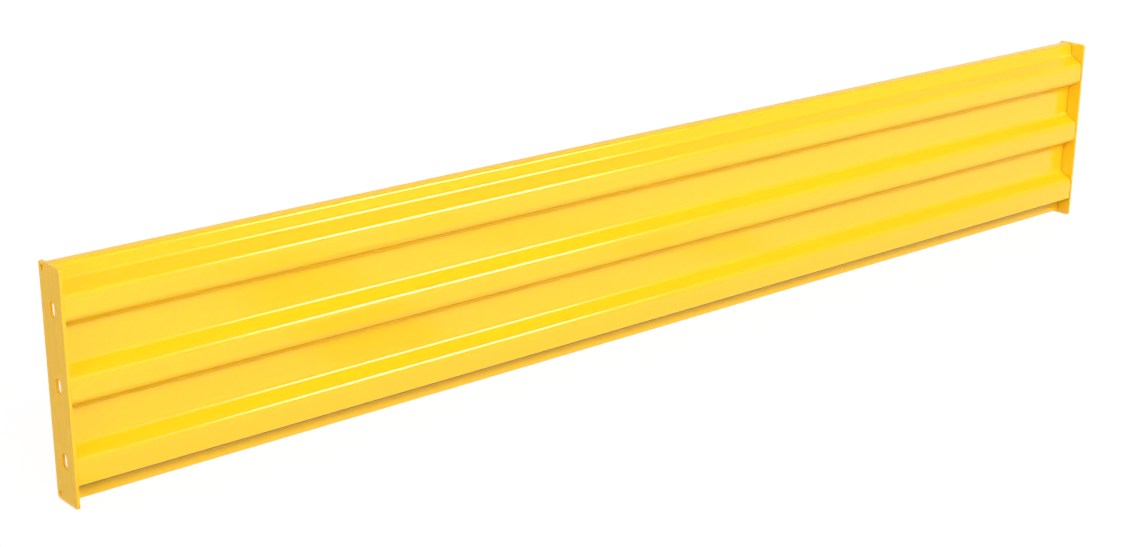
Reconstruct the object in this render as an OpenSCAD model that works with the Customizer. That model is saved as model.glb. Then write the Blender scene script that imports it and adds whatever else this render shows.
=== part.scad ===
// Industrial guardrail: one ribbed steel rail with a slotted end plate welded across each end.
// X runs along the rail, -Y is its front with the ribs, +Z is up.
// The origin is on the floor, under the middle of the two end plates.

/* [Rail] */
// Length over both end plates
rail_len = 2426; // [600:1:3600]
// Thickness of the rolled sheet
sheet_t = 3.04; // [2:0.01:4]
// Inside radius of every bend but the uppermost
bend_r = 10; // [5:0.5:12]
// Inside radius of the uppermost bend, between lip and top flange
top_bend_r = 4.5; // [2:0.5:8]
// Depth of the ribs, front face to front face
rib_depth = 28; // [24:0.1:38]
// How far the ribs stay behind the front edges of the end plates
crest_setback = 0.5; // [0:0.1:4]

/* [Ribs] */
// Height of the flat front of the two upper ribs
crest_h = 39; // [26:0.1:52]
// Height of the flat front of the lowest rib
low_crest_h = 47; // [34:0.1:60]
// Height that each sloping web takes up
web_h = 15.3; // [11:0.1:22]
// Height of the flat valley between two ribs
valley_h = 59.7; // [46:0.1:74]

/* [Edges] */
// Gap between the floor and the lower edge of the rail
floor_gap = 5; // [1:0.5:8]
// Height of the flange under the lowest rib
low_flange_h = 28.5; // [24:0.1:40]
// Height of the lip over the highest rib
top_lip_h = 25.4; // [18:0.1:30]
// How far the lip leans back over that height
top_lip_lean = 4.7; // [0:0.1:6]
// How far the top flange ends short of the rear edges of the end plates
top_flange_gap = 10.9; // [4:0.1:14]

/* [End plates] */
// How far the end plates stand above the rail
plate_proud = 1.2; // [1:0.1:8]
// Depth of the end plates, front to back
plate_d = 63.5; // [61:0.5:90]
// Thickness of the end plates
plate_t = 4.76; // [3:0.01:10]
// Radius of their corners
plate_corner_r = 6; // [2:0.5:10]

/* [Holes] */
// Width of the bolt slots
slot_w = 14.3; // [10:0.1:17]
// Length of the bolt slots, end to end
slot_len = 25.4; // [18:0.1:36]
// How much closer together the slots are than the ribs
slot_closer = 8.65; // [4:0.05:12]
// Distance of the slots from the front edge of the plate
slot_setback = 31; // [24:0.5:36]
// Diameter of the hang holes in the rear corners
hang_d = 9; // [5:0.5:10]
// Distance of the hang holes from the plate's edges
hang_edge = 9.5; // [8:0.5:12]

/* [Welds] */
// Leg of the weld beads behind the rail
weld_leg = 5; // [3:0.5:7]
// Length of the beads behind the flat fronts of the ribs
crest_weld_len = 20; // [12:1:21]
// Length of the beads behind the valleys
valley_weld_len = 40; // [16:1:46]

/* [Hidden] */
bend_steps = 12;
ribs = 3;

sheet_len = rail_len - 2 * plate_t;
crest_y = crest_setback;
valley_y = crest_y + rib_depth;

// Heights of the corners of the section's front face, from the bottom up
return_z = floor_gap + low_flange_h;
low_crest_top = return_z + low_crest_h;
rib_pitch = valley_h + 2 * web_h + crest_h;
function valley_z(i) = low_crest_top + web_h + i * rib_pitch;
top_z = valley_z(ribs - 1) + top_lip_h;

lip_top_y = valley_y + top_lip_lean;
top_flange_d = plate_d - top_flange_gap - lip_top_y;
plate_h = top_z + plate_proud;
slot_mid_z = plate_h / 2;
slot_pitch = rib_pitch - slot_closer;

coat = [0.99, 0.80, 0.09];
plate_coat = [0.97, 0.76, 0.10];

// ---- Rolled section -------------------------------------------------------

// Corners of the front face as [y, z]: low flange, return, ribs and valleys, lip, top flange
section_corners = concat(
    [[valley_y, floor_gap], [valley_y, return_z], [crest_y, return_z], [crest_y, low_crest_top]],
    [for (i = [0 : ribs - 2], corner = upper_rib(valley_z(i))) corner],
    [[valley_y, valley_z(ribs - 1)], [lip_top_y, top_z], [lip_top_y + top_flange_d, top_z]]
);

// One valley and the rib above it, up to the top of the rib's flat front
function upper_rib(z) = [
    [valley_y, z],
    [valley_y, z + valley_h],
    [crest_y, z + valley_h + web_h],
    [crest_y, z + valley_h + web_h + crest_h],
];

function unit(v) = v / norm(v);
function left_of(v) = [-v[1], v[0]];

// Signed turn of the path at corner i, positive to the left, which is the front
function turn_at(p, i) =
    let (a = unit(p[i] - p[i - 1]), b = unit(p[i + 1] - p[i]))
    atan2(cross(a, b), a * b);

// Front radius of the bend at corner i: the inside radius where the path turns to the front
function front_radius(p, i) =
    let (inside = i == len(p) - 2 ? top_bend_r : bend_r)
    turn_at(p, i) > 0 ? inside : inside + sheet_t;

// How much of the straight on either side the bend at corner i takes up
function bend_run(p, i) = front_radius(p, i) * tan(abs(turn_at(p, i)) / 2);

// The bend at corner i, on the front face (behind = 0) or the rear face (behind = sheet_t)
function bend(p, i, behind) =
    let (
        turn = turn_at(p, i),
        side = sign(turn),
        a = unit(p[i] - p[i - 1]),
        b = unit(p[i + 1] - p[i]),
        front_r = front_radius(p, i),
        centre = p[i] + unit(b - a) * front_r / cos(turn / 2),
        start = -side * left_of(a),
        start_angle = atan2(start[1], start[0]),
        r = front_r + side * behind
    )
    [for (k = [0 : bend_steps])
        let (angle = start_angle + turn * k / bend_steps)
        centre + r * [cos(angle), sin(angle)]];

// A whole face of the sheet: both end points with all the bends between them
function face(p, behind) =
    let (last = len(p) - 1, first_dir = unit(p[1] - p[0]), last_dir = unit(p[last] - p[last - 1]))
    concat(
        [p[0] - behind * left_of(first_dir)],
        [for (i = [1 : last - 1], point = bend(p, i, behind)) point],
        [p[last] - behind * left_of(last_dir)]
    );

function reversed(list) = [for (i = [len(list) - 1 : -1 : 0]) list[i]];

module section() {
    polygon(concat(face(section_corners, 0), reversed(face(section_corners, sheet_t))));
}

module rail_sheet() {
    color(coat)
    translate([-sheet_len / 2, -plate_d / 2, 0])
    rotate([90, 0, 90])
    linear_extrude(sheet_len) section();
}

// ---- End plates -----------------------------------------------------------

// Places children at one end: side = -1 is the left end, side = 1 the right.
// There the plate's outer face is at x = 0, its front edge at y = 0, and +X goes into the rail.
module at_end(side) {
    mirror([side > 0 ? 1 : 0, 0, 0])
    translate([-rail_len / 2, -plate_d / 2, 0])
    children();
}

// A flat bar with rounded corners, standing on the floor
module rounded_bar() {
    r = plate_corner_r;
    translate([0, r, 0]) cube([plate_t, plate_d - 2 * r, plate_h]);
    translate([0, 0, r]) cube([plate_t, plate_d, plate_h - 2 * r]);
    for (y = [r, plate_d - r], z = [r, plate_h - r])
        translate([0, y, z]) rotate([0, 90, 0]) cylinder(r = r, h = plate_t, $fn = 48);
}

// A cutter through the plate, round or stretched upwards into a slot
module through(d, length) {
    straight = length - d;
    for (z = [-straight / 2, straight / 2])
        translate([-1, 0, z]) rotate([0, 90, 0]) cylinder(d = d, h = plate_t + 2, $fn = 48);
    if (straight > 0)
        translate([-1, -d / 2, -straight / 2]) cube([plate_t + 2, d, straight]);
}

module end_plate(side) {
    color(plate_coat)
    at_end(side)
    difference() {
        rounded_bar();
        for (i = [-1 : 1])
            translate([0, slot_setback, slot_mid_z + i * slot_pitch]) through(slot_w, slot_len);
        for (z = [hang_edge, plate_h - hang_edge])
            translate([0, plate_d - hang_edge, z]) through(hang_d, hang_d);
    }
}

// ---- Weld beads -----------------------------------------------------------

// A bead along +Z in the corner of two faces, filling the quarter +X +Y, with rounded ends
module bead(leg, length) {
    intersection() {
        union() {
            translate([0, 0, leg]) cylinder(r = leg, h = length - 2 * leg, $fn = 48);
            for (z = [leg, length - leg]) translate([0, 0, z]) sphere(r = leg, $fn = 48);
        }
        cube([leg, leg, length]);
    }
}

// A bead up the rear of the sheet, centred at height z, where the sheet's front is at y
module rear_bead(side, y, z, length) {
    color(coat)
    at_end(side)
    translate([plate_t, y + sheet_t, z - length / 2]) bead(weld_leg, length);
}

// Middle of the straight part between corners i and i + 1 of the section
function straight_mid(i) =
    let (
        p = section_corners,
        low = p[i][1] + bend_run(p, i),
        high = p[i + 1][1] - bend_run(p, i + 1)
    )
    (low + high) / 2;

module crest_weld(side, i) rear_bead(side, crest_y, straight_mid(4 * i + 2), crest_weld_len);

module valley_weld(side, i) rear_bead(side, valley_y, straight_mid(4 * i + 4), valley_weld_len);

module low_flange_weld(side) {
    straight = low_flange_h - bend_r;
    rear_bead(side, valley_y, floor_gap + straight / 2, straight - weld_leg);
}

// On top of the top flange, where the plate stands a little higher
module top_flange_weld(side) {
    length = top_flange_d - bend_run(section_corners, len(section_corners) - 2) - plate_proud;
    color(coat)
    at_end(side)
    translate([plate_t, lip_top_y + top_flange_d - plate_proud / 2, top_z])
    rotate([90, 0, 0]) bead(plate_proud, length);
}

rail_sheet();
end_plate(-1);  // left_end_plate
end_plate(1);  // right_end_plate
top_flange_weld(-1);  // left_weld_top_flange
crest_weld(-1, 0);  // left_weld_crest_1
crest_weld(-1, 1);  // left_weld_crest_2
crest_weld(-1, 2);  // left_weld_crest_3
valley_weld(-1, 0);  // left_weld_valley_1
valley_weld(-1, 1);  // left_weld_valley_2
low_flange_weld(-1);  // left_weld_low_flange
top_flange_weld(1);  // right_weld_top_flange
crest_weld(1, 0);  // right_weld_crest_1
crest_weld(1, 1);  // right_weld_crest_2
crest_weld(1, 2);  // right_weld_crest_3
valley_weld(1, 0);  // right_weld_valley_1
valley_weld(1, 1);  // right_weld_valley_2
low_flange_weld(1);  // right_weld_low_flange
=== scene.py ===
import math

import bmesh
import bpy
from mathutils import Euler, Matrix, Vector


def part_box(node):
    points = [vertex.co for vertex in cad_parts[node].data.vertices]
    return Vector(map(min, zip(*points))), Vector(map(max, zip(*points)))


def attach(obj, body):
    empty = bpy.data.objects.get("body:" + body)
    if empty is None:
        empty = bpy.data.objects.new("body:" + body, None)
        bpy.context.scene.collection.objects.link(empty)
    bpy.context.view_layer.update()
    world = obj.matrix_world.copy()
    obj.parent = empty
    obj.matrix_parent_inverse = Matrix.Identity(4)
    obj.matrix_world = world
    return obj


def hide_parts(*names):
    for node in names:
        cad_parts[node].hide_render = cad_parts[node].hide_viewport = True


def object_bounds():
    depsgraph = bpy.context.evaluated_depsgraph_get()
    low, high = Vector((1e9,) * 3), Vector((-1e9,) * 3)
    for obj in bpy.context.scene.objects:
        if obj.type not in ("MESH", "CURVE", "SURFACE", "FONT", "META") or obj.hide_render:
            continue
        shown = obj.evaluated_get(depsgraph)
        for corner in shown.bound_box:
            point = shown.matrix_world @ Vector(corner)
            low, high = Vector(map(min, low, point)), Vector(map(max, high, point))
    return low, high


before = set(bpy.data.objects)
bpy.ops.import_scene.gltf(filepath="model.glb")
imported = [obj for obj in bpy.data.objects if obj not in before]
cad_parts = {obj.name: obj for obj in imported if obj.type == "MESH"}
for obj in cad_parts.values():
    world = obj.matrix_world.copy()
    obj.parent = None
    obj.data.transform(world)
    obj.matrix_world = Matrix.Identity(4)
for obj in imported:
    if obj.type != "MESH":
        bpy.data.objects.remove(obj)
cad_low, cad_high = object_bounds()

# ---- Rail sheet -----------------------------------------------------------
# One strip of steel, roll-formed into three ribs, welded into its end plates and then
# powder-coated glossy yellow. The coat rounds every bend and cut edge, and has a fine orange
# peel over long, shallow waves.

STEEL_YELLOW = (0.98, 0.585, 0.009, 1.0)
SHEET_EDGE_ROUND = 0.0006
SHEET_END_ROUND = 0.0012
CUT_EDGE_ANGLE = math.radians(50)
FLAT_ANGLE = math.radians(0.5)
LONG_EDGE = 1.0
SAME_PLACE = 1e-6
FLAT_FACE_WEIGHT = 100
BEND_TOLERANCE = 2e-5
SHEET_THICKNESS = 0.00304
RIB_DEPTH = 0.028
ROLL_RADIUS = 0.010
ROLL_TO_FOLD = 0.0075
FOLD_HEIGHT = 0.0335
LINE_HEIGHT = 0.0352
# Painted shade: the seam with the right plate and the underside of the lowest fold are darkened
# towards this brown.
SEAM_SHADE_WIDTH = 0.0026
PAINTED_SHADE_BROWN = (0.17, 0.06, 0.004, 1.0)
FOLD_SHADE_TOP = 0.0385
FOLD_SHADE_FADE = 0.0006
FOLD_SHADE_DEPTH = 0.005
COAT_IOR = 1.6
SHEET_ROUGHNESS = 0.16
SHEET_PEEL = 0.00003
SHEET_WAVE = 0.0004
SHEET_RUB = 0.02
SHEET_SPECKS = 0.10
ROLL_STRETCH = (0.25, 1.0, 1.0)
PEEL_PER_METRE = 260.0
PEEL_DETAIL = 1.0
WAVES_PER_METRE = 9.0
WAVE_DETAIL = 0.0
NIBS_PER_METRE = 22.0
NIB_SHARE = 0.25
NIB_RADIUS = 0.0013
NIB_HEIGHT = 0.0004
SHADES_PER_METRE = 5.0
SHADE_SPREAD = 0.05
MOTTLES_PER_METRE = 190.0
MOTTLE_SPREAD = 0.08
DARKEST_SHADE = 0.935
SHADE_DETAIL = 3.0
GLOSSES_PER_METRE = 30.0
GLOSS_SPREAD = 0.06
RUB_STRETCH = (0.5, 1.0, 0.14)
RUBS_PER_METRE = 110.0
RUB_DETAIL = 4.0
SPECKS_PER_METRE = 420.0
SPECK_DETAIL = 2.0
SPECK_START = 0.70
SPECK_EDGE = 12.0


def new_group(name, inputs, outputs):
    """A shader node group with its named inputs (socket, kind, value) and outputs."""
    group = bpy.data.node_groups.new(name, "ShaderNodeTree")
    for socket, kind, value in inputs:
        made = group.interface.new_socket(socket, in_out="INPUT", socket_type=kind)
        made.default_value = value
    for socket, kind in outputs:
        group.interface.new_socket(socket, in_out="OUTPUT", socket_type=kind)
    return group, group.nodes.new("NodeGroupInput"), group.nodes.new("NodeGroupOutput")


def math_node(nodes, links, operation, first, second):
    """A Math node whose two operands are sockets or plain numbers."""
    node = nodes.new("ShaderNodeMath")
    node.operation = operation
    for socket, value in zip(node.inputs, (first, second)):
        if isinstance(value, (int, float)):
            socket.default_value = value
        else:
            links.new(value, socket)
    return node.outputs[0]


def noise_node(nodes, links, place, scale, detail):
    """A Noise texture on the given coordinates; scale is a socket or a number."""
    noise = nodes.new("ShaderNodeTexNoise")
    noise.inputs["Detail"].default_value = detail
    links.new(place, noise.inputs["Vector"])
    if isinstance(scale, (int, float)):
        noise.inputs["Scale"].default_value = scale
    else:
        links.new(scale, noise.inputs["Scale"])
    return noise.outputs["Fac"]


def nib_height(nodes, links, place):
    """Height of the few grains of dust that cured into the coat: small, round, far apart."""
    cells = nodes.new("ShaderNodeTexVoronoi")
    cells.inputs["Scale"].default_value = NIBS_PER_METRE
    links.new(place, cells.inputs["Vector"])
    lot = nodes.new("ShaderNodeSeparateColor")
    links.new(cells.outputs["Color"], lot.inputs[0])
    chosen = math_node(nodes, links, "LESS_THAN", lot.outputs[0], NIB_SHARE)
    reach = NIB_RADIUS * NIBS_PER_METRE
    dome = math_node(nodes, links, "DIVIDE", cells.outputs["Distance"], reach)
    dome = math_node(nodes, links, "SUBTRACT", 1.0, dome)
    dome.node.use_clamp = True
    dome = math_node(nodes, links, "MULTIPLY", dome, chosen)
    return math_node(nodes, links, "MULTIPLY", dome, NIB_HEIGHT)


def powder_coat_group():
    """The cured powder's surface: peel, waves, dust nibs, faintly uneven shade and gloss."""
    group, given, result = new_group(
        "powder_coat",
        [
            ("Colour", "NodeSocketColor", STEEL_YELLOW),
            ("Peel Per Metre", "NodeSocketFloat", PEEL_PER_METRE),
            ("Peel Height", "NodeSocketFloat", SHEET_PEEL),
            ("Wave Height", "NodeSocketFloat", SHEET_WAVE),
            ("Roughness", "NodeSocketFloat", SHEET_ROUGHNESS),
        ],
        [
            ("Colour", "NodeSocketColor"),
            ("Roughness", "NodeSocketFloat"),
            ("Height", "NodeSocketFloat"),
        ],
    )
    nodes, links = group.nodes, group.links
    place = nodes.new("ShaderNodeTexCoord").outputs["Object"]

    stretch = nodes.new("ShaderNodeMapping")
    stretch.inputs["Scale"].default_value = ROLL_STRETCH
    links.new(place, stretch.inputs["Vector"])
    along = stretch.outputs["Vector"]

    peel = noise_node(nodes, links, place, given.outputs["Peel Per Metre"], PEEL_DETAIL)
    wave = noise_node(nodes, links, along, WAVES_PER_METRE, WAVE_DETAIL)
    peel_height = math_node(nodes, links, "MULTIPLY", peel, given.outputs["Peel Height"])
    wave_height = math_node(nodes, links, "MULTIPLY", wave, given.outputs["Wave Height"])
    nibs = nib_height(nodes, links, place)
    height = math_node(nodes, links, "ADD", peel_height, wave_height)
    links.new(math_node(nodes, links, "ADD", height, nibs), result.inputs["Height"])

    shade = noise_node(nodes, links, along, SHADES_PER_METRE, SHADE_DETAIL)
    mottle = noise_node(nodes, links, place, MOTTLES_PER_METRE, SHADE_DETAIL)
    tint = nodes.new("ShaderNodeHueSaturation")
    links.new(given.outputs["Colour"], tint.inputs["Color"])
    shade = math_node(nodes, links, "MULTIPLY", shade, SHADE_SPREAD)
    mottle = math_node(nodes, links, "MULTIPLY", mottle, MOTTLE_SPREAD)
    spread = math_node(nodes, links, "ADD", shade, mottle)
    links.new(math_node(nodes, links, "ADD", spread, DARKEST_SHADE), tint.inputs["Value"])
    links.new(tint.outputs["Color"], result.inputs["Colour"])

    gloss = noise_node(nodes, links, place, GLOSSES_PER_METRE, SHADE_DETAIL)
    gloss_shift = math_node(nodes, links, "MULTIPLY_ADD", gloss, GLOSS_SPREAD)
    gloss_shift.node.inputs[2].default_value = -GLOSS_SPREAD / 2
    links.new(
        math_node(nodes, links, "ADD", given.outputs["Roughness"], gloss_shift),
        result.inputs["Roughness"],
    )
    return group


def handled_group():
    """What stacking and handling leave on the coat: vertical rub marks and small dark specks."""
    group, given, result = new_group(
        "handled",
        [
            ("Colour", "NodeSocketColor", STEEL_YELLOW),
            ("Roughness", "NodeSocketFloat", SHEET_ROUGHNESS),
            ("Rub", "NodeSocketFloat", SHEET_RUB),
            ("Specks", "NodeSocketFloat", SHEET_SPECKS),
        ],
        [("Colour", "NodeSocketColor"), ("Roughness", "NodeSocketFloat")],
    )
    nodes, links = group.nodes, group.links
    place = nodes.new("ShaderNodeTexCoord").outputs["Object"]
    upright = nodes.new("ShaderNodeMapping")
    upright.inputs["Scale"].default_value = RUB_STRETCH
    links.new(place, upright.inputs["Vector"])

    rub = noise_node(nodes, links, upright.outputs["Vector"], RUBS_PER_METRE, RUB_DETAIL)
    rub = math_node(nodes, links, "SUBTRACT", rub, 0.5)
    rub = math_node(nodes, links, "MULTIPLY", rub, given.outputs["Rub"])
    specks = noise_node(nodes, links, place, SPECKS_PER_METRE, SPECK_DETAIL)
    specks = math_node(nodes, links, "SUBTRACT", specks, SPECK_START)
    specks = math_node(nodes, links, "MULTIPLY", specks, SPECK_EDGE)
    specks.node.use_clamp = True
    specks = math_node(nodes, links, "MULTIPLY", specks, given.outputs["Specks"])

    value = math_node(nodes, links, "ADD", 1.0, rub)
    value = math_node(nodes, links, "SUBTRACT", value, specks)
    shade = nodes.new("ShaderNodeHueSaturation")
    links.new(value, shade.inputs["Value"])
    links.new(given.outputs["Colour"], shade.inputs["Color"])
    links.new(shade.outputs["Color"], result.inputs["Colour"])
    duller = math_node(nodes, links, "ADD", given.outputs["Roughness"], specks)
    duller = math_node(nodes, links, "ADD", duller, rub)
    links.new(duller, result.inputs["Roughness"])
    return group


POWDER_COAT = powder_coat_group()
HANDLED = handled_group()


def coated(name, colour, roughness, peel_height, wave_height, rub, specks):
    """A powder-coated steel finish with its orange peel, waves and marks of handling."""
    material = bpy.data.materials.new(name)
    material.use_nodes = True
    nodes, links = material.node_tree.nodes, material.node_tree.links
    shader = nodes["Principled BSDF"]
    shader.inputs["IOR"].default_value = COAT_IOR
    coat = nodes.new("ShaderNodeGroup")
    coat.node_tree = POWDER_COAT
    coat.inputs["Colour"].default_value = colour
    coat.inputs["Roughness"].default_value = roughness
    coat.inputs["Peel Height"].default_value = peel_height
    coat.inputs["Wave Height"].default_value = wave_height
    handled = nodes.new("ShaderNodeGroup")
    handled.node_tree = HANDLED
    handled.inputs["Rub"].default_value = rub
    handled.inputs["Specks"].default_value = specks
    bump = nodes.new("ShaderNodeBump")
    bump.inputs["Distance"].default_value = 1.0
    links.new(coat.outputs["Colour"], handled.inputs["Colour"])
    links.new(coat.outputs["Roughness"], handled.inputs["Roughness"])
    links.new(handled.outputs["Colour"], shader.inputs["Base Color"])
    links.new(handled.outputs["Roughness"], shader.inputs["Roughness"])
    links.new(coat.outputs["Height"], bump.inputs["Height"])
    links.new(bump.outputs["Normal"], shader.inputs["Normal"])
    return material


def round_edges(shape, edges, edge_round, segments):
    """Bevels the given edges of a mesh to a round."""
    bmesh.ops.bevel(
        shape,
        geom=edges,
        offset=edge_round,
        offset_type="OFFSET",
        affect="EDGES",
        segments=segments,
        profile=0.5,
        material=-1,
        clamp_overlap=True,
    )


def merged_copy(node):
    """A copy of a CAD piece's mesh, merged, with its flat faces whole."""
    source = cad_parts[node]
    shape = bmesh.new()
    shape.from_mesh(source.data)
    bmesh.ops.remove_doubles(shape, verts=shape.verts, dist=SAME_PLACE)
    bmesh.ops.dissolve_limit(
        shape, angle_limit=FLAT_ANGLE, verts=shape.verts, edges=shape.edges
    )
    return shape


def tighten_bend(shape, bend_axis, new_axis, radii, tighter):
    """Takes the two faces of a bend, found by their radii, to a tighter bend about a new axis;
    an axis is (y, z)."""
    for vert in shape.verts:
        arm = Vector((0.0, vert.co.y - bend_axis[0], vert.co.z - bend_axis[1]))
        if min(abs(arm.length - radius) for radius in radii) < BEND_TOLERANCE:
            vert.co.y = new_axis[0] + arm.y * (1.0 - tighter / arm.length)
            vert.co.z = new_axis[1] + arm.z * (1.0 - tighter / arm.length)


def rounded_copy(node, shape, edge_round, segments, end_round=0.0):
    """The copy with its cut edges rounded, those of its two ends more, as a new object."""
    cut_edges = [
        edge
        for edge in shape.edges
        if len(edge.link_faces) == 2 and edge.calc_face_angle() > CUT_EDGE_ANGLE
    ]
    if end_round:
        end_edges = [
            edge
            for edge in cut_edges
            if abs(edge.verts[0].co.x - edge.verts[1].co.x) < SAME_PLACE
        ]
        round_edges(shape, end_edges, end_round, segments)
        cut_edges = [
            edge
            for edge in shape.edges
            if edge.calc_length() > LONG_EDGE and edge.calc_face_angle() > CUT_EDGE_ANGLE
        ]
    round_edges(shape, cut_edges, edge_round, segments)
    mesh = bpy.data.meshes.new(f"coated_{node}")
    shape.to_mesh(mesh)
    shape.free()
    mesh.shade_smooth()
    piece = bpy.data.objects.new(f"coated_{node}", mesh)
    bpy.context.scene.collection.objects.link(piece)
    even = piece.modifiers.new("even_flats", "WEIGHTED_NORMAL")
    even.mode = "FACE_AREA_WITH_ANGLE"
    even.weight = FLAT_FACE_WEIGHT
    return piece


rail_finish = coated(
    "rail_coat",
    STEEL_YELLOW,
    roughness=SHEET_ROUGHNESS,
    peel_height=SHEET_PEEL,
    wave_height=SHEET_WAVE,
    rub=SHEET_RUB,
    specks=SHEET_SPECKS,
)
nodes, links = rail_finish.node_tree.nodes, rail_finish.node_tree.links
place = nodes.new("ShaderNodeTexCoord").outputs["Object"]
split = nodes.new("ShaderNodeSeparateXYZ")
links.new(place, split.inputs[0])
sheet_low, sheet_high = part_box("rail_sheet")

# Painted shade: the coat colour is mixed towards a dark brown in the seam with the right plate
# and under the lowest fold, where shade falls in the gap and in the crease.
to_seam = math_node(nodes, links, "SUBTRACT", split.outputs["X"], sheet_high[0] - SEAM_SHADE_WIDTH)
seam_shade_mask = math_node(nodes, links, "DIVIDE", to_seam, SEAM_SHADE_WIDTH)
seam_shade_mask.node.use_clamp = True
shade_top = cad_low.z + FOLD_SHADE_TOP
below_top = math_node(nodes, links, "SUBTRACT", shade_top, split.outputs["Z"])
under_fold = math_node(nodes, links, "DIVIDE", below_top, FOLD_SHADE_FADE)
under_fold.node.use_clamp = True
behind_face = math_node(nodes, links, "SUBTRACT", split.outputs["Y"], sheet_low[1])
near_face = math_node(nodes, links, "LESS_THAN", behind_face, FOLD_SHADE_DEPTH)
fold_shade_mask = math_node(nodes, links, "MULTIPLY", under_fold, near_face)
# The painted shade is the larger of the seam and fold masks.
painted_shade = math_node(nodes, links, "MAXIMUM", seam_shade_mask, fold_shade_mask)
darken = nodes.new("ShaderNodeMix")
darken.data_type = "RGBA"
darken.inputs["B"].default_value = PAINTED_SHADE_BROWN
shader = nodes["Principled BSDF"]
coat_colour = shader.inputs["Base Color"].links[0].from_socket
links.new(painted_shade, darken.inputs["Factor"])
links.new(coat_colour, darken.inputs["A"])
links.new(darken.outputs["Result"], shader.inputs["Base Color"])

# The lowest rib is folded under tighter than the rolls bend the rest, and so is the flange.
sheet_shape = merged_copy("rail_sheet")
bend_faces = (ROLL_RADIUS, ROLL_RADIUS + SHEET_THICKNESS)
rib_corner = (sheet_low[1], ROLL_RADIUS + SHEET_THICKNESS)
flange_corner = (sheet_low[1] + RIB_DEPTH, -ROLL_RADIUS)
for corner_y, to_axis in (flange_corner, rib_corner):
    to_tight_axis = to_axis - math.copysign(ROLL_TO_FOLD, to_axis)
    tighten_bend(
        sheet_shape,
        (corner_y + to_axis, cad_low.z + FOLD_HEIGHT + to_axis),
        (corner_y + to_tight_axis, cad_low.z + LINE_HEIGHT + to_tight_axis),
        bend_faces,
        ROLL_TO_FOLD,
    )
rail = rounded_copy(
    "rail_sheet",
    sheet_shape,
    SHEET_EDGE_ROUND,
    segments=2,
    end_round=SHEET_END_ROUND,
)
rail.data.materials.append(rail_finish)
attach(rail, "root")
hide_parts("rail_sheet")

# ---- End plates -----------------------------------------------------------
# Flat bar, sheared and punched, welded square across each end of the rail.
# Its edges are rounded a little and take more powder, which leaves them softer.

PLATE_EDGE_ROUND = 0.0008

plate_finish = coated(
    "end_plate_coat",
    STEEL_YELLOW,
    roughness=0.20,
    peel_height=0.00004,
    wave_height=0.0001,
    rub=0.16,
    specks=0.30,
)
for end in ("left", "right"):
    plate_shape = merged_copy(f"{end}_end_plate")
    plate = rounded_copy(f"{end}_end_plate", plate_shape, PLATE_EDGE_ROUND, segments=3)
    plate.data.materials.append(plate_finish)
    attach(plate, "root")
    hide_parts(f"{end}_end_plate")

# ---- Weld beads -----------------------------------------------------------
# Short fillet welds laid by hand in the corners between the sheet and the plates, mostly
# behind the rail. Each is a row of overlapping puddles, and the powder covers it like the rest.

WELD_PUDDLE = 0.0024
WELD_GROOVE = 0.80
WELD_CRESCENT = 0.25
WELD_SIDES = 32
WELD_BITE = 0.0001
WELD_END = 0.12
RINGS_A_PUDDLE = 4


def puddle_fullness(turn):
    """How far a bead swells at a place within one puddle, from groove to groove."""
    return WELD_GROOVE + (1.0 - WELD_GROOVE) * math.sqrt(math.sin(math.pi * turn))


def weld_shape(leg, length):
    """A rippled quarter-round bead along +Z from the origin, its flat sides on X = 0 and Y = 0."""
    shape = bmesh.new()
    ring = bmesh.ops.create_circle(shape, cap_ends=True, segments=WELD_SIDES, radius=leg)["verts"]
    edges = [edge for edge in shape.edges if edge.verts[0] in ring]
    puddles = round(length / WELD_PUDDLE)
    rings = puddles * RINGS_A_PUDDLE
    step = length / rings
    last_radius = leg
    for count in range(rings + 1):
        height = count * step
        to_end = min(height, length - height)
        ending = math.sqrt(max(WELD_END, 1.0 - max(0.0, 1.0 - to_end / leg) ** 2))
        fullness = puddle_fullness(count % RINGS_A_PUDDLE / RINGS_A_PUDDLE)
        radius = leg * ending * fullness
        if count:
            made = bmesh.ops.extrude_edge_only(shape, edges=edges)["geom"]
            ring = [item for item in made if isinstance(item, bmesh.types.BMVert)]
            edges = [item for item in made if isinstance(item, bmesh.types.BMEdge)]
            bmesh.ops.translate(shape, vec=(0.0, 0.0, step), verts=ring)
        grow = radius / last_radius
        bmesh.ops.scale(shape, vec=(grow, grow, 1.0), verts=ring)
        last_radius = radius
    bmesh.ops.contextual_create(shape, geom=edges)
    for vert in shape.verts:
        off_crown = math.atan2(vert.co.y, vert.co.x) - math.pi / 4
        inside = min(1.0, 2.0 * min(vert.co.z, length - vert.co.z) / leg)
        vert.co.z += WELD_CRESCENT * leg * (math.cos(off_crown) - 1.0) * inside
    for normal in ((1.0, 0.0, 0.0), (0.0, 1.0, 0.0)):
        whole = list(shape.verts) + list(shape.edges) + list(shape.faces)
        bmesh.ops.bisect_plane(
            shape, geom=whole, plane_co=(0.0, 0.0, 0.0), plane_no=normal, clear_inner=True
        )
        open_edges = [edge for edge in shape.edges if edge.is_boundary]
        bmesh.ops.holes_fill(shape, edges=open_edges)
    return shape


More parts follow.
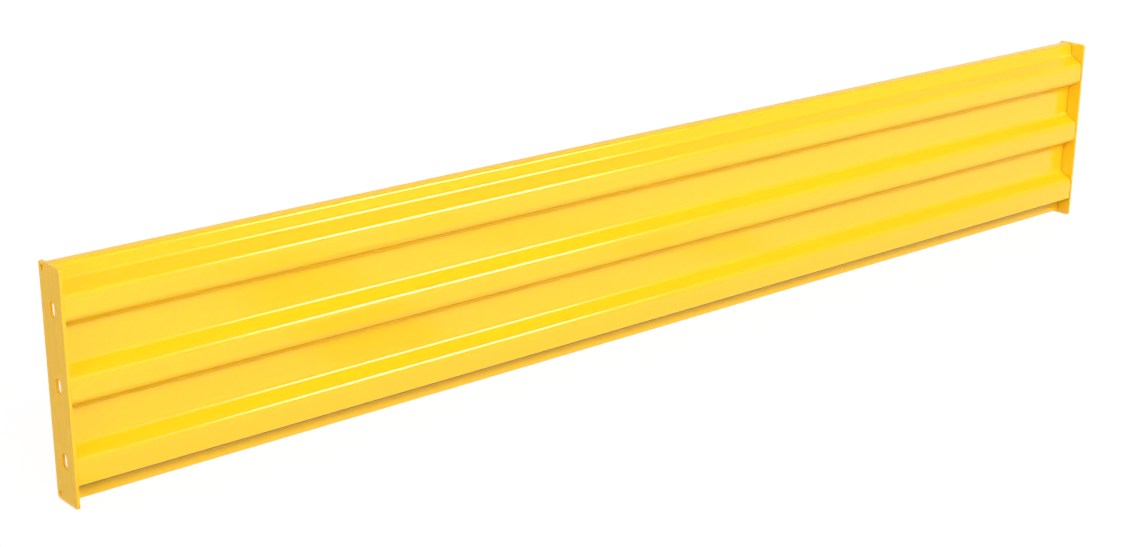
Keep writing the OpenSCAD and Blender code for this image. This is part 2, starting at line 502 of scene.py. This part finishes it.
weld_finish = coated(
    "weld_coat",
    STEEL_YELLOW,
    roughness=0.22,
    peel_height=0.00005,
    wave_height=0.0,
    rub=0.02,
    specks=0.15,
)
for end, inward in (("left", 1.0), ("right", -1.0)):
    for node in sorted(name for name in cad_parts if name.startswith(f"{end}_weld_")):
        low, high = (Vector(corner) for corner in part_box(node))
        size = high - low
        plate_face = low.x if inward > 0 else high.x
        if size.y > size.z:
            leg, length = size.z, size.y
            turned = Matrix(((inward, 0, 0), (0, 0, 1), (0, 1, 0)))
        else:
            leg, length = size.y, size.z
            turned = Matrix(((inward, 0, 0), (0, 1, 0), (0, 0, 1)))
        bead_shape = weld_shape(leg, length)
        corner = Vector((plate_face - inward * WELD_BITE, low.y, low.z))
        seat = Matrix.Translation(corner) @ turned.to_4x4()
        bmesh.ops.transform(bead_shape, matrix=seat, verts=bead_shape.verts)
        bmesh.ops.recalc_face_normals(bead_shape, faces=bead_shape.faces)
        bead_mesh = bpy.data.meshes.new(f"bead_{node}")
        bead_shape.to_mesh(bead_mesh)
        bead_shape.free()
        bead_mesh.shade_smooth()
        bead_mesh.materials.append(weld_finish)
        bead = bpy.data.objects.new(f"bead_{node}", bead_mesh)
        bpy.context.scene.collection.objects.link(bead)
        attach(bead, "root")
        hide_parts(node)

# ---- Floor ----------------------------------------------------------------
# A matt white floor that reaches far past the rail on all sides. To the eye it is plain white
# and keeps a faint contact shadow; the gloss of the paint meets it a little brighter.

FLOOR_SIZE = 60.0
FLOOR_GREY = (0.51, 0.51, 0.51, 1.0)
SHADOW_SHARE = 0.2
GLOSS_SHADOW_SHARE = 0.5
GLOSS_GLOW = 1.35
CAMERA_GLOW = 1.14

floor_mesh = bpy.data.meshes.new("floor")
floor_shape = bmesh.new()
bmesh.ops.create_grid(floor_shape, x_segments=1, y_segments=1, size=FLOOR_SIZE / 2)
floor_shape.to_mesh(floor_mesh)
floor_shape.free()
floor = bpy.data.objects.new("floor", floor_mesh)
bpy.context.scene.collection.objects.link(floor)
floor.location.z = cad_low.z

floor_paint = bpy.data.materials.new("floor_white")
floor_paint.use_nodes = True
nodes, links = floor_paint.node_tree.nodes, floor_paint.node_tree.links
floor_shader = nodes["Principled BSDF"]
floor_shader.inputs["Base Color"].default_value = FLOOR_GREY
floor_shader.inputs["Roughness"].default_value = 1.0
floor_shader.inputs["Specular IOR Level"].default_value = 0.0
rays = nodes.new("ShaderNodeLightPath")
seen = math_node(
    nodes, links, "MAXIMUM", rays.outputs["Is Camera Ray"], rays.outputs["Is Transmission Ray"]
)
seen = math_node(nodes, links, "MULTIPLY", seen, 1.0 - SHADOW_SHARE)
mirrored = math_node(
    nodes, links, "MULTIPLY", rays.outputs["Is Glossy Ray"], 1.0 - GLOSS_SHADOW_SHARE
)
share = math_node(nodes, links, "MAXIMUM", seen, mirrored)
extra_glow = math_node(
    nodes, links, "MULTIPLY", rays.outputs["Is Glossy Ray"], GLOSS_GLOW - CAMERA_GLOW
)
glow = nodes.new("ShaderNodeEmission")
links.new(math_node(nodes, links, "ADD", extra_glow, CAMERA_GLOW), glow.inputs["Strength"])
blend = nodes.new("ShaderNodeMixShader")
links.new(share, blend.inputs[0])
links.new(floor_shader.outputs[0], blend.inputs[1])
links.new(glow.outputs[0], blend.inputs[2])
links.new(blend.outputs[0], nodes["Material Output"].inputs["Surface"])
floor_mesh.materials.append(floor_paint)

# ---- Studio light ---------------------------------------------------------
# Even white surroundings, a key box high in front with a weak fill farther off, and soft boxes
# to the left, to the right and behind. The gloss of the paint sees a dark ceiling over the
# rail instead, with lighter walls behind and to the right.

AROUND_STRENGTH = 0.46
CEILING_GLOSS = 0.10
BEHIND_GLOSS = 0.55
HORIZON_GLOSS = 0.52
LOW_GLOSS = 0.25
RIGHT_GLOSS = 0.28
RIGHT_FROM = 0.66
RIGHT_FULL = 0.82
LOW_END = 35.0
CEILING_START = 60.0
CEILING_END = 102.8
BEHIND_START = 104.2
HORIZON = 180.0
WHITE_LIGHT = (1.0, 1.0, 1.0)
WARM_LIGHT = (1.0, 0.86, 0.84)

world = bpy.data.worlds.new("studio")
bpy.context.scene.world = world
world.use_nodes = True
nodes, links = world.node_tree.nodes, world.node_tree.links
rays = nodes.new("ShaderNodeLightPath")
direction = nodes.new("ShaderNodeTexCoord").outputs["Generated"]
split = nodes.new("ShaderNodeSeparateXYZ")
links.new(direction, split.inputs[0])
forward = math_node(nodes, links, "MULTIPLY", split.outputs["Y"], -1.0)
turn = math_node(nodes, links, "ARCTAN2", split.outputs["Z"], forward)
turn = math_node(nodes, links, "DIVIDE", turn, math.pi)
sweep = nodes.new("ShaderNodeValToRGB")
links.new(turn, sweep.inputs[0])
ramp = sweep.color_ramp
stops = (
    (0.0, LOW_GLOSS),
    (LOW_END, LOW_GLOSS),
    (CEILING_START, CEILING_GLOSS),
    (CEILING_END, CEILING_GLOSS),
    (BEHIND_START, BEHIND_GLOSS),
    (HORIZON, HORIZON_GLOSS),
)
while len(ramp.elements) < len(stops):
    ramp.elements.new(0.5)
for element, (degrees, level) in zip(ramp.elements, stops):
    element.position = degrees / HORIZON
    element.color = (level, level, level, 1.0)
to_right = math_node(nodes, links, "SUBTRACT", split.outputs["X"], RIGHT_FROM)
to_right = math_node(nodes, links, "DIVIDE", to_right, RIGHT_FULL - RIGHT_FROM)
to_right.node.use_clamp = True
to_right = math_node(nodes, links, "MULTIPLY", to_right, RIGHT_GLOSS)
for_gloss = math_node(nodes, links, "ADD", sweep.outputs["Color"], to_right)
for_gloss = math_node(nodes, links, "SUBTRACT", for_gloss, AROUND_STRENGTH)
for_gloss = math_node(nodes, links, "MULTIPLY", for_gloss, rays.outputs["Is Glossy Ray"])
strength = math_node(nodes, links, "ADD", for_gloss, AROUND_STRENGTH)
to_white = math_node(nodes, links, "SUBTRACT", 1.0, strength)
to_white = math_node(nodes, links, "MULTIPLY", to_white, rays.outputs["Is Camera Ray"])
strength = math_node(nodes, links, "ADD", strength, to_white)
links.new(strength, nodes["Background"].inputs["Strength"])
nodes["Background"].inputs["Color"].default_value = (1.0, 1.0, 1.0, 1.0)


def soft_box(name, place, target, size, power, colour):
    """A rectangular lamp at place that faces target; the glossy cards stand in for it there."""
    lamp = bpy.data.lights.new(name, "AREA")
    lamp.shape = "RECTANGLE"
    lamp.size, lamp.size_y = size
    lamp.energy = power
    lamp.color = colour
    holder = bpy.data.objects.new(name, lamp)
    bpy.context.scene.collection.objects.link(holder)
    holder.location = place
    holder.rotation_euler = (Vector(target) - Vector(place)).to_track_quat("-Z", "Y").to_euler()
    holder.visible_camera = False
    holder.visible_glossy = False


middle = (cad_low + cad_high) / 2
under_middle = Vector((middle.x, middle.y, cad_low.z))
for name, place, size, watts, tint in (
    ("key_box", (0.2, -3.52, 2.95), (7.0, 1.4), 182.0, WHITE_LIGHT),
    ("front_box", (0.5, -5.5, 1.6), (4.0, 1.5), 40.0, WHITE_LIGHT),
    ("side_box", (-9.0, -2.12, 1.95), (4.4, 2.9), 228.0, WARM_LIGHT),
    ("right_box", (9.0, 4.0, 1.2), (4.0, 2.0), 200.0, WHITE_LIGHT),
    ("back_box", (0.4, 6.5, 2.8), (7.0, 2.5), 270.0, WHITE_LIGHT),
):
    soft_box(name, under_middle + Vector(place), middle, size, watts, tint)

# ---- Reflected cards ------------------------------------------------------
# What the glossy paint mirrors: bright soft boxes in front to the right and left, which draw
# the streaks along the bends, and darker strips on the floor. Two of them are painted shadow:
# the rail's own shadow at its foot and behind its left end. Only reflections show them.


def gloss_card(name, place, tilt, turn, size, level, soft_edge):
    """A glowing card that only glossy rays meet, fading out over soft_edge at its rim."""
    mesh = bpy.data.meshes.new(name)
    shape = bmesh.new()
    bmesh.ops.create_grid(shape, x_segments=1, y_segments=1, size=0.5)
    bmesh.ops.scale(shape, vec=(size[0], size[1], 1.0), verts=shape.verts)
    shape.to_mesh(mesh)
    shape.free()
    paint = bpy.data.materials.new(name)
    paint.use_nodes = True
    nodes, links = paint.node_tree.nodes, paint.node_tree.links
    nodes.remove(nodes["Principled BSDF"])
    split = nodes.new("ShaderNodeSeparateXYZ")
    links.new(nodes.new("ShaderNodeTexCoord").outputs["Object"], split.inputs[0])
    inside = 1.0
    for axis, length, fade in zip(("X", "Y"), size, soft_edge):
        from_middle = math_node(nodes, links, "ABSOLUTE", split.outputs[axis], 0.0)
        to_rim = math_node(nodes, links, "SUBTRACT", length / 2, from_middle)
        part = math_node(nodes, links, "DIVIDE", to_rim, fade)
        part.node.use_clamp = True
        inside = math_node(nodes, links, "MULTIPLY", inside, part)
    glow = nodes.new("ShaderNodeEmission")
    glow.inputs["Strength"].default_value = level
    clear = nodes.new("ShaderNodeBsdfTransparent")
    blend = nodes.new("ShaderNodeMixShader")
    links.new(inside, blend.inputs[0])
    links.new(clear.outputs[0], blend.inputs[1])
    links.new(glow.outputs[0], blend.inputs[2])
    links.new(blend.outputs[0], nodes["Material Output"].inputs["Surface"])
    mesh.materials.append(paint)
    card = bpy.data.objects.new(name, mesh)
    bpy.context.scene.collection.objects.link(card)
    card.location = place
    card.rotation_euler = (tilt, 0.0, turn)
    card.visible_camera = False
    card.visible_diffuse = False
    card.visible_shadow = False
    card.visible_transmission = False


for name, place, tilt, turn, size, level, soft_edge in (
    ("streak_card", (1.72, -2.6, 2.3), 51.0, 0.0, (1.75, 1.1), 19.0, (0.35, 0.15)),
    ("side_card", (-2.95, -2.6, 2.3), 51.0, -35.0, (1.2, 1.1), 110.0, (0.3, 0.15)),
    ("dark_strip_a", (-0.40, -0.56, 0.004), 0.0, 10.0, (0.30, 0.75), 0.35, (0.05, 0.05)),
    ("dark_strip_b", (0.24, -0.57, 0.004), 0.0, -39.0, (0.17, 0.9), 0.35, (0.04, 0.05)),
    # Painted shadow: the rail's contact shadow on the floor just in front of its foot.
    ("foot_shadow_strip", (0.0, -0.045, 0.003), 0.0, 0.0, (2.7, 0.16), 0.7, (0.05, 0.06)),
    # Painted shadow: the rail's own shadow on the floor behind and left of its left end.
    ("cast_shadow_strip", (-1.5, 0.55, 0.004), 0.0, 0.0, (0.8, 1.5), 0.5, (0.05, 0.1)),
):
    stands = under_middle + Vector(place)
    gloss_card(name, stands, math.radians(tilt), math.radians(turn), size, level, soft_edge)

# ---- Camera ---------------------------------------------------------------
# A long lens at the front left, above the rail and looking down along it, so that the rail
# runs across the whole frame. Its place is given from the rail's front lower left corner.

CAMERA_FROM_CORNER = Vector((-1.2416, -2.5780, 1.3084))
HEADING = math.radians(39.936)
TILT_DOWN = math.radians(19.902)
ROLL = math.radians(0.244)
SENSOR_MM = 36.0
LENS_MM = 65.135
SHIFT_RIGHT = 0.01348
SHIFT_UP = 0.04327
FAR_CLIP = 100.0

lens = bpy.data.cameras.new("camera")
lens.sensor_width = SENSOR_MM
lens.lens = LENS_MM
lens.shift_x = SHIFT_RIGHT
lens.shift_y = SHIFT_UP
lens.clip_end = FAR_CLIP
camera = bpy.data.objects.new("camera", lens)
bpy.context.scene.collection.objects.link(camera)
aim = Euler((math.pi / 2 - TILT_DOWN, 0.0, -HEADING)).to_matrix()
camera.matrix_world = Matrix.Translation(cad_low + CAMERA_FROM_CORNER) @ (
    aim @ Matrix.Rotation(ROLL, 3, "Z")
).to_4x4()
bpy.context.scene.camera = camera
bpy.context.scene.view_settings.view_transform = "Standard"
